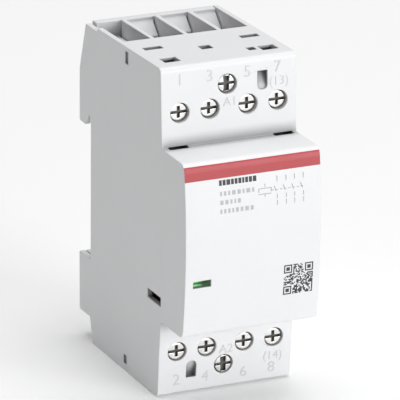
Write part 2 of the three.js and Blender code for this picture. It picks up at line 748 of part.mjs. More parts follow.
function addTerminals() {
  const poleScrew = terminalScrew(screwShankRadius, poleCrossArm, -barSetback - 0.4);
  const coilScrew = terminalScrew(coilShankRadius, coilCrossArm, -coilBladeSetback - 0.4);
  rows.forEach((row) => {
    const group = new THREE.Group();
    poles.forEach((x, i) => {
      const label = `${row.name}_${i + 1}`;
      place(group, `terminal_screw_${label}`, 'screw', poleScrew, [x, 0, row.screwZ]);
      place(group, `clamp_cage_${label}`, 'cage', clampCage(x, row.screwZ, poleClamp));
      place(group, `fixed_contact_${label}`, 'copper', fixedContact(row, x));
    });
    const coil = `coil_${row.name}`;
    place(group, `${coil}_screw`, 'screw', coilScrew, [coilTerminalX, 0, row.coilZ]);
    place(group, `${coil}_cage`, 'cage', clampCage(coilTerminalX, row.coilZ, coilClamp));
    place(group, `${coil}_blade`, 'copper', coilBlade(row));
    place(group, `${coil}_lead`, 'winding', coilLead(row));
    contactor.add(group);
  });
}

function addMovingContacts() {
  const group = new THREE.Group();
  place(group, 'contact_carrier', 'inner', contactCarrier());
  const spring = coilSpring(bridgeSpringFront + 0.25, bridgeFront - clearance - 0.25, 1.2, 0.22, 4, 8);
  poles.forEach((x, i) => {
    place(group, `contact_bridge_${i + 1}`, 'copper', contactBridge(x));
    place(group, `contact_spring_${i + 1}`, 'spring', spring, [x, 0, mechanismZ]);
  });
  contactor.add(group);
}

function addMagnet() {
  const group = new THREE.Group();
  place(group, 'armature', 'steel', armature());
  place(group, 'armature_pin', 'spring', rodX(1, [-8, 8], pinPlace, 16));
  place(group, 'magnet_core', 'steel', fixedCore());
  place(group, 'coil_bobbin', 'inner', coilBobbin());
  place(group, 'coil_winding', 'winding', coilWinding());
  const spring = coilSpring(carrierRear + clearance + 0.3, bobbinFront - clearance - 0.3, 1.9, 0.3, 4, 9);
  [['left', -1], ['right', 1]].forEach(([name, side]) => {
    place(group, `return_spring_${name}`, 'spring', spring, [side * 11.5, 0, mechanismZ]);
  });
  contactor.add(group);
}

function addIndicator() {
  const group = new THREE.Group();
  place(group, 'indicator_lens', 'lens', indicatorLens());
  place(group, 'indicator_flag', 'flag', indicatorFlag());
  place(group, 'indicator_pin', 'spring', indicatorPin());
  place(group, 'rectifier_board', 'board', rectifierBoard());
  contactor.add(group);
}

addCase();
addTerminals();
addMovingContacts();
addMagnet();
addIndicator();

export default contactor;
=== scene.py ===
"""DIN rail contactor: the looks of its case, terminals, markings and mechanism, round the packed CAD."""

import json
import math
import random

import bmesh
import bpy
from bpy.props import FloatProperty, FloatVectorProperty, IntProperty, PointerProperty
from mathutils import Matrix, Vector
from mathutils.bvhtree import BVHTree

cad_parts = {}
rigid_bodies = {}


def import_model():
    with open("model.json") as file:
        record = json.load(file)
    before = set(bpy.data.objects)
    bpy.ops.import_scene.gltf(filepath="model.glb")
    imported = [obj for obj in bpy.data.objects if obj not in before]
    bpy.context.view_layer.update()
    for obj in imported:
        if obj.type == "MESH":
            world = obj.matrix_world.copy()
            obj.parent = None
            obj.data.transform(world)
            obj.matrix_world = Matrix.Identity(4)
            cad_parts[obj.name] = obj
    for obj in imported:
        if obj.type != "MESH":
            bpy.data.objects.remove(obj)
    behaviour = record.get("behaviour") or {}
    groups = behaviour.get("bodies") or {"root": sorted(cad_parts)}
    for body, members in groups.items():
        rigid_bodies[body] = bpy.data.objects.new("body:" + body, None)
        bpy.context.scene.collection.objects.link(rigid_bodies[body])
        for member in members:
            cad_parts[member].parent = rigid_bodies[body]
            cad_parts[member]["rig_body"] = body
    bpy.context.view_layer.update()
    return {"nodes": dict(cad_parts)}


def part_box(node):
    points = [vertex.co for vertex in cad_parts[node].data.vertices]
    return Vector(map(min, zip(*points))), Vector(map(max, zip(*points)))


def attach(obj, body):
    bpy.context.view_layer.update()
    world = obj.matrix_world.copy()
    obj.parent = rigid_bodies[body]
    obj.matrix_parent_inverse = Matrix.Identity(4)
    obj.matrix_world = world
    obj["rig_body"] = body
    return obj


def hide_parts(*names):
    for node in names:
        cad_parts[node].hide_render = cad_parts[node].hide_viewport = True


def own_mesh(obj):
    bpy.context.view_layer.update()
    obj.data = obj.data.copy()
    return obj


for leftover in list(bpy.data.objects):
    bpy.data.objects.remove(leftover)
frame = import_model()

bl_info = {
    "name": "DIN rail contactor",
    "version": (1, 0, 0),
    "blender": (4, 5, 0),
    "location": "View3D > Sidebar > Contactor",
    "description": "Builds a two-module, four-pole installation contactor round its CAD frame",
    "category": "Add Mesh",
}

MM = 0.001
MERGE = 2e-6
HOUSING_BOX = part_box("front_housing")
FLOOR_HEIGHT = HOUSING_BOX[0].z
INNER_EDGE = 0.12 * MM
FINE_EDGE = 0.08 * MM
SCREW_HEAD = 1.5 * MM
CLIP_SPRING_SEAT, CLIP_TRAVEL = -33 * MM, 4.2 * MM
RETURN_SPRING_SEAT, CARRIER_TRAVEL = -25.1 * MM, 3.0 * MM
CONTACT_SPRING_SEAT, BRIDGE_TRAVEL = -47.2 * MM, 1.0 * MM
POLES = (1, 2, 3, 4)
ROWS = ("upper", "lower")


# ---- Node graphs ----------------------------------------------------------------------------


class Signal:
    """A socket of a graph that is added, multiplied and compared as a number is."""

    def __init__(self, graph, socket):
        self.graph = graph
        self.socket = socket

    def _math(self, operation, first, second=0.0):
        return self.graph.node("ShaderNodeMath", {0: first, 1: second}, operation=operation)

    def __add__(self, other):
        return self._math("ADD", self, other)

    def __radd__(self, other):
        return self._math("ADD", other, self)

    def __sub__(self, other):
        return self._math("SUBTRACT", self, other)

    def __rsub__(self, other):
        return self._math("SUBTRACT", other, self)

    def __mul__(self, other):
        return self._math("MULTIPLY", self, other)

    def __rmul__(self, other):
        return self._math("MULTIPLY", other, self)

    def __truediv__(self, other):
        return self._math("DIVIDE", self, other)

    def __rtruediv__(self, other):
        return self._math("DIVIDE", other, self)

    def __pow__(self, other):
        return self._math("POWER", self, other)

    def __gt__(self, other):
        return self._math("GREATER_THAN", self, other)

    def __lt__(self, other):
        return self._math("LESS_THAN", self, other)

    def __abs__(self):
        return self._math("ABSOLUTE", self)

    def least(self, other):
        return self._math("MINIMUM", self, other)

    def most(self, other):
        return self._math("MAXIMUM", self, other)

    def wave(self):
        return self._math("SINE", self)


class Graph:
    """A node tree and the one way that nodes are added to it."""

    def __init__(self, tree):
        self.tree = tree

    def node(self, kind, inputs=None, output=0, **settings):
        """Adds a node: its settings first, then its sockets' values or links."""
        made = self.tree.nodes.new(kind)
        for name, value in settings.items():
            setattr(made, name, value)
        for name, value in (inputs or {}).items():
            socket = made.inputs[name]
            if isinstance(value, Signal):
                self.tree.links.new(value.socket, socket)
            else:
                socket.default_value = value
        return Signal(self, made.outputs[output]) if made.outputs else made

    def split(self, vector):
        """The three parts of a vector, as signals."""
        made = self.node("ShaderNodeSeparateXYZ", {0: vector})
        return [Signal(self, socket) for socket in made.socket.node.outputs]

    def join(self, x, y, z):
        return self.node("ShaderNodeCombineXYZ", {0: x, 1: y, 2: z})


class Finish(Graph):
    """A material's graph, with the patterns that the finishes share."""

    def __init__(self, name):
        self.material = bpy.data.materials.new(name)
        self.material.use_nodes = True
        super().__init__(self.material.node_tree)
        self.tree.nodes.clear()
        self.place = self.node("ShaderNodeTexCoord", output="Object")

    def noise(self, scale, detail=2.0, place=None, stretch=None):
        """Cloudy noise from 0 to 1, at so many lumps a metre, stretched along an axis if told to."""
        place = place or self.place
        if stretch:
            place = self.node("ShaderNodeMapping", {"Vector": place, "Scale": stretch})
        return self.node(
            "ShaderNodeTexNoise",
            {"Vector": place, "Scale": scale, "Detail": detail, "Roughness": 0.55},
            output=0,
        )

    def mix(self, factor, first, second):
        """One colour turning into another as the factor goes from 0 to 1."""
        return self.node(
            "ShaderNodeMix",
            {0: factor, 6: _rgba(first), 7: _rgba(second)},
            output=2,
            data_type="RGBA",
        )

    def openness_for_shade(self, reach):
        """How open a spot is, from 0 deep in a corner of its own piece to 1, used to paint shade into
        recesses and corners.
        """
        return self.node(
            "ShaderNodeAmbientOcclusion", {"Distance": reach}, output="AO", samples=6, only_local=True
        )

    def bump(self, height, distance, strength=1.0):
        return self.node(
            "ShaderNodeBump",
            {"Height": height, "Distance": distance, "Strength": strength},
        )

    def surface(self, colour, roughness, metallic=0.0, normal=None, **constants):
        """Ends the graph in a Principled shader, with the constants set on its own sockets."""
        inputs = {"Base Color": _rgba(colour), "Roughness": roughness, "Metallic": metallic}
        if normal:
            inputs["Normal"] = normal
        for name, value in constants.items():
            inputs[name.replace("_", " ").title().replace("Ior", "IOR")] = value
        shader = self.node("ShaderNodeBsdfPrincipled", inputs)
        self.node("ShaderNodeOutputMaterial", {"Surface": shader})
        return self.material


def _rgba(colour):
    return colour if isinstance(colour, Signal) else (*colour[:3], 1.0)


def tinted(colour, share):
    """A colour made lighter or darker by a share."""
    return tuple(min(1.0, part * share) for part in colour[:3])


# ---- Finishes -------------------------------------------------------------------------------

_finishes = {}


def finish(make, *values):
    """The material that a maker gives for some values, made once."""
    key = (make.__name__, *(v if isinstance(v, (str, float, int)) else tuple(v) for v in values))
    if key not in _finishes:
        _finishes[key] = make(*values)
    return _finishes[key]


def moulded_plastic(name, colour, roughness, grain):
    """Spark-eroded moulded plastic: a fine even grain, with slow changes of tone and gloss, and painted shade
    that darkens its own recesses and corners.
    """
    f = Finish(name)
    cloud = f.noise(70.0, 3.0)
    texture = f.noise(grain, 3.0)
    speck = f.noise(grain * 0.23, 2.0)
    tone = cloud * 0.7 + speck * 0.3
    fresh = f.mix(tone, tinted(colour, 0.965), tinted(colour, 1.03))
    # Painted shade: the colour goes towards a near-black tone where ambient occlusion finds a recess or
    # corner of the piece.
    shade = f.mix(f.openness_for_shade(0.0035) ** 1.9, tinted(colour, 0.14), fresh)
    gloss = roughness + (cloud - 0.5) * 0.10 + (texture - 0.5) * 0.12
    relief = f.bump(texture * 0.75 + speck * 0.25, 0.00003, 0.35)
    return f.surface(shade, gloss, normal=relief, ior=1.52)


def filled_plastic(name, colour, roughness):
    """Glass-filled plastic of the inner parts: short pale fibres drawn along the flow."""
    f = Finish(name)
    fibres = f.noise(1500.0, 2.0, stretch=(1.0, 0.18, 0.5))
    cloud = f.noise(120.0, 3.0)
    streak = (fibres > 0.62) * 0.35 + cloud * 0.4
    shade = f.mix(streak, tinted(colour, 0.88), tinted(colour, 1.35))
    relief = f.bump(fibres, 0.00003, 0.4)
    return f.surface(shade, roughness + (fibres - 0.5) * 0.2, normal=relief, ior=1.5)


def plated_screw(name, colour):
    """Bright plated steel, turned on its own axis, with painted shade down in the drive recess and on the
    shank under the head.
    """
    f = Finish(name)
    own = f.node("ShaderNodeAttribute", output="Vector", attribute_name="from_axis")
    x, depth, z = f.split(own)
    radius = (x * x + z * z) ** 0.5
    rings = (radius * 2 * math.pi / 0.00018).wave() * 0.5 + 0.5
    cloud = f.noise(900.0, 3.0)
    # Painted shade: the drive recess in the head is coloured near-black, and the shank under the head is
    # coloured darker.
    recess = (depth > 0.00014) * (radius < 0.00216) * (depth < 0.00105)
    under = depth > 0.0017
    bright = f.mix(cloud, tinted(colour, 0.86), tinted(colour, 1.08))
    shank_shade = f.mix(under, bright, tinted(colour, 0.62))
    shade = f.mix(recess, shank_shade, tinted(colour, 0.16))
    gloss = 0.24 + rings * 0.08 + (cloud - 0.5) * 0.14 + recess * 0.3
    relief = f.bump(rings * 0.4 + cloud * 0.6, 0.000012, 0.5)
    return f.surface(shade, gloss, 1.0, relief)


def zinc_plate(name, colour):
    """Zinc-plated pressed steel: small dull crystals and rolling lines."""
    f = Finish(name)
    crystal = f.node(
        "ShaderNodeTexVoronoi", {"Vector": f.place, "Scale": 1600.0}, output="Distance"
    )
    rolled = f.noise(700.0, 2.0, stretch=(1.0, 0.08, 1.0))
    tone = crystal * 0.5 + rolled * 0.5
    shade = f.mix(tone, tinted(colour, 0.78), tinted(colour, 1.12))
    relief = f.bump(tone, 0.00002, 0.4)
    return f.surface(shade, 0.32 + crystal * 0.25, 1.0, relief)


def brushed_copper(name, colour):
    """Rolled copper strip with a thin brown bloom on it."""
    f = Finish(name)
    rolled = f.noise(900.0, 3.0, stretch=(1.0, 0.1, 0.1))
    bloom = f.noise(220.0, 4.0)
    worn = f.mix(bloom, tinted(colour, 0.62), tinted(colour, 1.1))
    shade = f.mix(rolled * 0.4, worn, tinted(colour, 1.2))
    relief = f.bump(rolled, 0.00002, 0.5)
    return f.surface(shade, 0.26 + bloom * 0.2, 1.0, relief)


def laminated_steel(name, colour):
    """A stack of thin electrical sheets, with their edges showing along X."""
    f = Finish(name)
    x, _, _ = f.split(f.place)
    sheets = (x * 2 * math.pi / 0.0005).wave() * 0.5 + 0.5
    gap = sheets < 0.12
    cloud = f.noise(500.0, 3.0)
    metal = f.mix(cloud, tinted(colour, 0.7), tinted(colour, 1.15))
    shade = f.mix(gap, metal, tinted(colour, 0.25))
    relief = f.bump(sheets ** 0.3, 0.00006, 0.8)
    return f.surface(shade, 0.38 + cloud * 0.15 + gap * 0.2, 1.0, relief)


def drawn_wire(name, colour, enamel):
    """Drawn wire: fine lines along it, with a coat of enamel where it is insulated."""
    f = Finish(name)
    drawn = f.noise(2600.0, 2.0, stretch=(1.0, 1.0, 0.3))
    cloud = f.noise(350.0, 2.0)
    shade = f.mix(drawn * 0.5 + cloud * 0.5, tinted(colour, 0.75), tinted(colour, 1.12))
    relief = f.bump(drawn, 0.000008, 0.5)
    return f.surface(shade, 0.26 + cloud * 0.16, 1.0, relief, coat_weight=enamel, coat_roughness=0.12)


def printed_ink(name, colour, roughness):
    """Ink or foil on the case: a little uneven in tone and gloss, over the plastic's grain."""
    f = Finish(name)
    press = f.noise(260.0, 3.0)
    grain = f.noise(4200.0, 2.0)
    shade = f.mix(press * 0.6 + grain * 0.4, tinted(colour, 0.93), tinted(colour, 1.06))
    relief = f.bump(grain, 0.00002, 0.3)
    return f.surface(shade, roughness + (press - 0.5) * 0.12, normal=relief)


def flag_enamel(name, green, red, pale):
    """The indicator's flag: a green field, with a red and white one that turns into the window."""
    f = Finish(name)
    _, y, z = f.split(f.place)
    upper = z > (-5.6 * MM)
    stripe = z > (-5.2 * MM)
    cloud = f.noise(900.0, 3.0)
    field = f.mix(upper, green, pale)
    field = f.mix(stripe * (y < (-52.6 * MM)), field, red)
    shade = f.mix(cloud * 0.25, field, tinted(green, 0.5))
    return f.surface(shade, 0.4 + cloud * 0.15, normal=f.bump(cloud, 0.00002, 0.3))


def clear_window(name, colour):
    """Clear polycarbonate, with faint wiping marks in its gloss."""
    f = Finish(name)
    wiped = f.noise(1400.0, 2.0, stretch=(0.1, 1.0, 1.0))
    through = f.node("ShaderNodeBsdfTransparent", {"Color": _rgba(colour)})
    gloss = f.node("ShaderNodeBsdfPrincipled", {
        "Base Color": f.mix(wiped, tinted(colour, 0.8), colour), "Roughness": 0.04 + wiped * 0.08,
        "Metallic": 1.0,
    })
    share = f.node("ShaderNodeFresnel", {"IOR": 1.45}) * 0.9 + wiped * 0.02
    both = f.node("ShaderNodeMixShader", {0: share, 1: through, 2: gloss})
    f.node("ShaderNodeOutputMaterial", {"Surface": both})
    return f.material


def board_laminate(name, mask_green, copper, silk):
    """Printed board: lacquer over woven glass, with copper tracks and pads under it."""
    f = Finish(name)
    x, _, z = f.split(f.place)
    weave = ((x * 2 * math.pi / 0.0006).wave() + (z * 2 * math.pi / 0.0006).wave()) * 0.25 + 0.5
    tracks = f.node(
        "ShaderNodeTexBrick",
        {"Vector": f.node("ShaderNodeMapping", {"Vector": f.place, "Rotation": (math.pi / 2, 0, 0)}),
         "Scale": 420.0, "Mortar Size": 0.09, "Color1": (0, 0, 0, 1), "Color2": (0, 0, 0, 1),
         "Mortar": (1, 1, 1, 1)},
        output="Color",
    )
    lacquer = f.mix(weave, tinted(mask_green, 0.8), tinted(mask_green, 1.15))
    shade = f.mix(tracks, lacquer, copper)
    shade = f.mix((f.noise(800.0, 1.0) > 0.72) * 0.8, shade, silk)
    return f.surface(shade, 0.35 + weave * 0.1, normal=f.bump(weave, 0.00002, 0.4), coat_weight=0.4)


def studio_floor(name, colour):
    """A pale, even sweep with the faintest mottling."""
    f = Finish(name)
    cloud = f.noise(6.0, 3.0)
    shade = f.mix(cloud, tinted(colour, 0.99), colour)
    relief = f.bump(f.noise(900.0, 2.0), 0.00005, 0.1)
    return f.surface(
        shade, 0.85, normal=relief, specular_ior_level=0.1, emission_color=(1.0, 1.0, 1.0, 1.0),
        emission_strength=0.11,
    )


# ---- Meshes ---------------------------------------------------------------------------------


def merged(*names):
    """The CAD nodes' own faces, joined up and made into few convex ones."""
    shape = bmesh.new()
    for name in names:
        shape.from_mesh(frame["nodes"][name].data)
    bmesh.ops.remove_doubles(shape, verts=shape.verts, dist=MERGE)
    bmesh.ops.dissolve_limit(shape, angle_limit=math.radians(0.8), verts=shape.verts, edges=shape.edges)
    bmesh.ops.connect_verts_concave(shape, faces=[f for f in shape.faces if len(f.verts) > 4])
    return shape


def soften(shape, width, segments=2, sharpest=30.0):
    """Rounds every edge that turns by more than an angle."""
    edges = [e for e in shape.edges if e.calc_face_angle(0.0) > math.radians(sharpest)]
    bmesh.ops.bevel(
        shape, geom=edges, offset=width, offset_type="OFFSET", segments=segments, profile=0.5,
        affect="EDGES", clamp_overlap=False,
    )
    bmesh.ops.dissolve_degenerate(shape, dist=width * 0.05, edges=shape.edges)
    return shape


def link(mesh, name):
    piece = bpy.data.objects.new(name, mesh)
    bpy.context.scene.collection.objects.link(piece)
    return piece


def mesh_of(shape, name):
    mesh = bpy.data.meshes.new(name)
    shape.to_mesh(mesh)
    shape.free()
    return mesh


def applied(piece):
    """The piece's modifiers made real in its own mesh."""
    bpy.context.view_layer.update()
    whole = bpy.data.meshes.new_from_object(piece.evaluated_get(bpy.context.evaluated_depsgraph_get()))
    piece.modifiers.clear()
    piece.data = whole
    return piece


def shaded(piece, sharpest=50.0):
    """Smooth shading that keeps flat faces flat and leaves sharp edges sharp."""
    mesh = piece.data
    mesh.polygons.foreach_set("use_smooth", [True] * len(mesh.polygons))
    mesh.set_sharp_from_angle(angle=math.radians(sharpest))
    weighted = piece.modifiers.new("flats", "WEIGHTED_NORMAL")
    weighted.keep_sharp = True
    return applied(piece)


def settle(piece, body, material, replaced=()):
    """Gives a finished piece its material in a slot of its own, its body, and hides the CAD nodes that it
    stands for.
    """
    piece.data.materials.clear()
    piece.data.materials.append(material)
    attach(piece, body)
    if replaced:
        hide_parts(*replaced)
    return piece


def body_of(node):
    return frame["nodes"][node]["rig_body"]


def soft_piece(node, width, material, name=None, segments=2):
    """A CAD node's own shape with its edges rounded, in its place."""
    shape = soften(merged(node), width, segments)
    piece = shaded(link(mesh_of(shape, name or node), name or f"{node}_piece"))
    return settle(piece, body_of(node), material, [node])


_surface = {}


def face_at(x, z):
    """Where the front of the case is, at a place seen straight on."""
    if "case" not in _surface:
        shape = merged("front_housing")
        _surface["case"] = BVHTree.FromBMesh(shape)
        shape.free()
    hit = _surface["case"].ray_cast(Vector((x, -1.0, z)), Vector((0.0, 1.0, 0.0)))[0]
    if hit is None:
        raise RuntimeError(f"nothing of the case lies behind x {x:.4f}, z {z:.4f}")
    return hit.y


# ---- Geometry Nodes trees -------------------------------------------------------------------


class Tree(Graph):
    """A Geometry Nodes tree with named inputs, which ends in Realize Instances and Set Material."""

    def __init__(self, name, inputs):
        super().__init__(bpy.data.node_groups.new(name, "GeometryNodeTree"))
        sides = self.tree.interface
        sides.new_socket("Geometry", in_out="INPUT", socket_type="NodeSocketGeometry")
        sides.new_socket("Geometry", in_out="OUTPUT", socket_type="NodeSocketGeometry")
        for label, kind in inputs.items():
            sides.new_socket(label, in_out="INPUT", socket_type=f"NodeSocket{kind}")
        sides.new_socket("Material", in_out="INPUT", socket_type="NodeSocketMaterial")
        entry = self.tree.nodes.new("NodeGroupInput")
        self.inputs = {socket.name: Signal(self, socket) for socket in entry.outputs if socket.name}

    def finish(self, geometry, smooth):
        shown = self.node("GeometryNodeSetShadeSmooth", {"Geometry": geometry, "Shade Smooth": smooth})
        real = self.node("GeometryNodeRealizeInstances", {"Geometry": shown})
        painted = self.node(
            "GeometryNodeSetMaterial", {"Geometry": real, "Material": self.inputs["Material"]}
        )
        self.node("NodeGroupOutput", {0: painted})
        return self.tree


def grown(tree, name, values, base=None):
    """A plain mesh from a tree with its inputs set, on a base mesh if it needs one."""
    piece = link(base or bpy.data.meshes.new(name), name)
    modifier = piece.modifiers.new(name, "NODES")
    modifier.node_group = tree
    for item in tree.interface.items_tree:
        if item.in_out == "INPUT" and item.name in values:
            modifier[item.identifier] = values[item.name]
    piece = applied(piece)
    mesh = piece.data
    bpy.data.objects.remove(piece)
    return mesh


def wound_tree():
    """A wire wound round Z from the origin up: a spring with closed ends, or a screw's thread."""
    t = Tree("wound_wire", {
        "Radius": "Float", "Wire Radius": "Float", "Length": "Float", "Turns": "Float",
        "Closed Turns": "Float", "Sides": "Int", "Steps": "Int",
    })
    put = t.inputs
    spiral = t.node("GeometryNodeCurveSpiral", {
        "Resolution": put["Steps"], "Rotations": put["Turns"], "Start Radius": put["Radius"],
        "End Radius": put["Radius"], "Height": put["Length"],
    })
    along = t.node("GeometryNodeSplineParameter", output="Factor") * put["Turns"]
    closed = put["Closed Turns"]
    thick = put["Wire Radius"] * 2
    first = along.least(closed)
    last = (along - (put["Turns"] - closed)).most(0.0)
    share = ((along - closed) / (put["Turns"] - closed * 2)).most(0.0).least(1.0)
    height = thick * (first + last) + share * (put["Length"] - thick * closed * 2)
    x, y, _ = t.split(t.node("GeometryNodeInputPosition"))
    wound = t.node("GeometryNodeSetPosition", {"Geometry": spiral, "Position": t.join(x, y, height)})
    upright = t.node("GeometryNodeSetCurveNormal", {"Curve": wound}, mode="Z_UP")
    section = t.node(
        "GeometryNodeCurvePrimitiveCircle",
        {"Resolution": put["Sides"], "Radius": put["Wire Radius"]}, mode="RADIUS",
    )
    wire = t.node("GeometryNodeCurveToMesh", {"Curve": upright, "Profile Curve": section, "Fill Caps": True})
    return t.finish(wire, True)


def plates_tree():
    """A small flat plate at every point of a mesh, sized and turned by the point's attributes."""
    t = Tree("printed_plates", {"Thickness": "Float"})
    plate = t.node("GeometryNodeMeshCube", {"Size": t.join(1.0, t.inputs["Thickness"], 1.0)}, output="Mesh")
    size = t.node(
        "GeometryNodeInputNamedAttribute", {"Name": "plate_size"}, data_type="FLOAT_VECTOR"
    )
    turn = t.node("GeometryNodeInputNamedAttribute", {"Name": "plate_turn"}, data_type="FLOAT")
    tilt = t.node("GeometryNodeInputNamedAttribute", {"Name": "plate_tilt"}, data_type="FLOAT")
    placed = t.node("GeometryNodeInstanceOnPoints", {
        "Points": t.inputs["Geometry"], "Instance": plate, "Rotation": t.join(tilt, turn, 0.0), "Scale": size,
    })
    return t.finish(placed, False)


def code_tree():
    """A square field of printed cells picked at random, clear of its three corner squares."""
    t = Tree("code_cells", {
        "Width": "Float", "Cells": "Int", "Seed": "Int", "Share": "Float", "Thickness": "Float",
        "Corner Cells": "Float",
    })
    put = t.inputs
    cells = put["Cells"]
    pitch = put["Width"] / cells
    reach = put["Width"] - pitch
    grid = t.node("GeometryNodeMeshGrid", {
        "Size X": reach, "Size Y": reach, "Vertices X": cells, "Vertices Y": cells,
    }, output="Mesh")
    x, y, _ = t.split(t.node("GeometryNodeInputPosition"))
    edge = put["Width"] / 2 - pitch * put["Corner Cells"]
    top = y > edge
    corners = (x < (0 - edge)) * (abs(y) > edge) + (x > edge) * top
    luck = t.node(
        "FunctionNodeRandomValue", {"Seed": put["Seed"]}, output=1, data_type="FLOAT"
    )
    unprinted = ((luck > put["Share"]) + corners) > 0.5
    kept = t.node("GeometryNodeDeleteGeometry", {"Geometry": grid, "Selection": unprinted}, domain="POINT")
    plate = t.node(
        "GeometryNodeMeshCube", {"Size": t.join(pitch * 1.01, pitch * 1.01, put["Thickness"])}, output="Mesh"
    )
    placed = t.node("GeometryNodeInstanceOnPoints", {"Points": kept, "Instance": plate})
    return t.finish(placed, False)


def winding_tree():
    """Rounded rectangular turns of wire laid side by side along Z."""
    t = Tree("wire_turns", {
        "Width": "Float", "Height": "Float", "Corner": "Float", "Wire Radius": "Float",
        "Length": "Float", "Turns": "Int",
    })
    put = t.inputs
    loop = t.node("GeometryNodeCurvePrimitiveQuadrilateral", {
        "Width": put["Width"] - put["Wire Radius"] * 2, "Height": put["Height"] - put["Wire Radius"] * 2,
    })
    rounded = t.node(
        "GeometryNodeFilletCurve", {"Curve": loop, "Radius": put["Corner"], "Count": 4}, mode="POLY"
    )
    section = t.node(
        "GeometryNodeCurvePrimitiveCircle", {"Resolution": 6, "Radius": put["Wire Radius"]}, mode="RADIUS"
    )
    turn = t.node("GeometryNodeCurveToMesh", {"Curve": rounded, "Profile Curve": section})
    step = put["Length"] / (put["Turns"] - 1)
    line = t.node(
        "GeometryNodeMeshLine", {"Count": put["Turns"], "Offset": t.join(0.0, 0.0, step)}, mode="OFFSET"
    )
    placed = t.node("GeometryNodeInstanceOnPoints", {"Points": line, "Instance": turn})
    return t.finish(placed, True)


_trees = {}


def tree(make):
    if make.__name__ not in _trees:
        _trees[make.__name__] = make()
    return _trees[make.__name__]


def to_y_axis(start):
    """Turns a shape made up along Z so that it runs along Y from a place."""
    return Matrix.Translation(start) @ Matrix.Rotation(-math.pi / 2, 4, "X")


def plates(name, strokes, thickness, material):
    """Flat printed strokes on the front, each a centre, a length, a width and a turn from level."""
    points = bpy.data.meshes.new(name)
    centres = []
    sizes = []
    turns = []
    tilts = []
    for x, z, length, width, turn in strokes:
        reach = 0.3 * MM
        lean = math.atan2(face_at(x, z + reach) - face_at(x, z - reach), 2 * reach)
        centres.append((x, face_at(x, z) - thickness * 0.35, z))
        sizes.extend((length, 1.0, width))
        turns.append(turn)
        tilts.append(-lean)
    points.from_pydata(centres, [], [])
    points.attributes.new("plate_size", "FLOAT_VECTOR", "POINT").data.foreach_set("vector", sizes)
    points.attributes.new("plate_turn", "FLOAT", "POINT").data.foreach_set("value", turns)
    points.attributes.new("plate_tilt", "FLOAT", "POINT").data.foreach_set("value", tilts)
    return grown(tree(plates_tree), name, {"Thickness": thickness, "Material": material}, points)


# ---- Settings -------------------------------------------------------------------------------


def length(name, description, millimetres):
    return FloatProperty(
        name=name, description=description, default=millimetres * MM, min=0.0,
        unit="LENGTH", subtype="DISTANCE", precision=5,
    )


def place_at(name, description, millimetres):
    return FloatProperty(
        name=name, description=description, default=millimetres * MM, unit="LENGTH",
        subtype="DISTANCE", precision=5,
    )


def angle(name, description, degrees):
    return FloatProperty(
        name=name, description=description, default=math.radians(degrees), unit="ROTATION",
        subtype="ANGLE",
    )


def number(name, description, value):
    return FloatProperty(name=name, description=description, default=value)


def colour(name, description, value):
    return FloatVectorProperty(
        name=name, description=description, default=value, size=3, subtype="COLOR", min=0.0, max=1.0
    )


class CaseSettings(bpy.types.PropertyGroup):
    """The moulded case and its raised numbers."""

    edge: length("Case edge", "Radius on the case's moulded edges", 0.22)
    numeral_relief: length("Numeral relief", "How far the raised numbers stand off the shoulders", 0.09)
    numeral_height: length("Numeral height", "Height of the large raised numbers", 3.05)
    housing: colour("Housing", "Colour of the front housing", (0.80, 0.805, 0.815))
    base: colour("Rear base", "Colour of the rear base", (0.76, 0.765, 0.775))
    clip: colour("Rail clip", "Colour of the sliding rail clip", (0.74, 0.745, 0.75))
    # The raised numbers are the case's own plastic; their darker tone is painted shade standing in for the
    # shading along their edges.
    numerals: colour("Numerals", "Tone of the raised numbers", (0.66, 0.665, 0.675))


class PrintSettings(bpy.types.PropertyGroup):
    """The printed band, lines, diagram and code field on the nose."""

    band_low: place_at("Band foot", "Lower edge of the coloured band above the rail's centre", 18.75)
    band_high: place_at("Band top", "Upper edge of the coloured band above the rail's centre", 22.3)
    ink: length("Ink thickness", "Thickness of the printed layers", 0.024)
    code_width: length("Code width", "Side of the square code field", 7.8)
    code_x: place_at("Code across", "Middle of the code field across the case", 12.2)
    code_z: place_at("Code height", "Middle of the code field above the rail's centre", -9.5)
    code_cells: IntProperty(name="Code cells", description="Cells along a side", default=25, min=17)
    code_seed: IntProperty(name="Code seed", description="Seed of the random cells", default=7)
    band: colour("Band", "Colour of the band", (0.45, 0.046, 0.055))
    dark_ink: colour("Dark ink", "Colour of the dark printing", (0.035, 0.035, 0.04))
    grey_ink: colour("Grey ink", "Colour of the pale grey printing", (0.36, 0.36, 0.37))


class MetalSettings(bpy.types.PropertyGroup):
    """The terminals' and mechanism's metal parts."""

    edge: length("Metal edge", "Radius on pressed and turned metal edges", 0.07)
    pole_pitch: length("Pole thread pitch", "Pitch of the pole screws' thread", 0.7)
    coil_pitch: length("Coil thread pitch", "Pitch of the coil screws' thread", 0.5)
    thread_depth: length("Thread depth", "Depth of the screws' threads", 0.22)
    screw: colour("Screw plating", "Colour of the screws", (0.80, 0.79, 0.77))
    cage: colour("Cage plating", "Colour of the clamp cages", (0.62, 0.64, 0.66))
    copper: colour("Copper", "Colour of the current path", (0.80, 0.44, 0.27))
    magnet: colour("Magnet steel", "Colour of the core and armature", (0.36, 0.37, 0.40))
    spring: colour("Spring steel", "Colour of the springs and pins", (0.50, 0.51, 0.53))
    enamel: colour("Winding", "Colour of the winding's enamelled wire", (0.55, 0.19, 0.07))


class MechanismSettings(bpy.types.PropertyGroup):
    """The plastics of the moving and inner parts."""

    carrier: colour("Carrier", "Colour of the contact carrier", (0.055, 0.057, 0.062))
    bobbin: colour("Bobbin", "Colour of the coil's bobbin", (0.46, 0.43, 0.36))
    flag_on: colour("Flag field", "Colour of the flag's resting field", (0.10, 0.80, 0.13))
    flag_off: colour("Flag stripe", "Colour of the flag's other field", (0.56, 0.03, 0.03))
    window: colour("Window", "Tint of the indicator's window", (0.96, 1.0, 0.97))
    board: colour("Board", "Colour of the rectifier board's lacquer", (0.02, 0.12, 0.05))


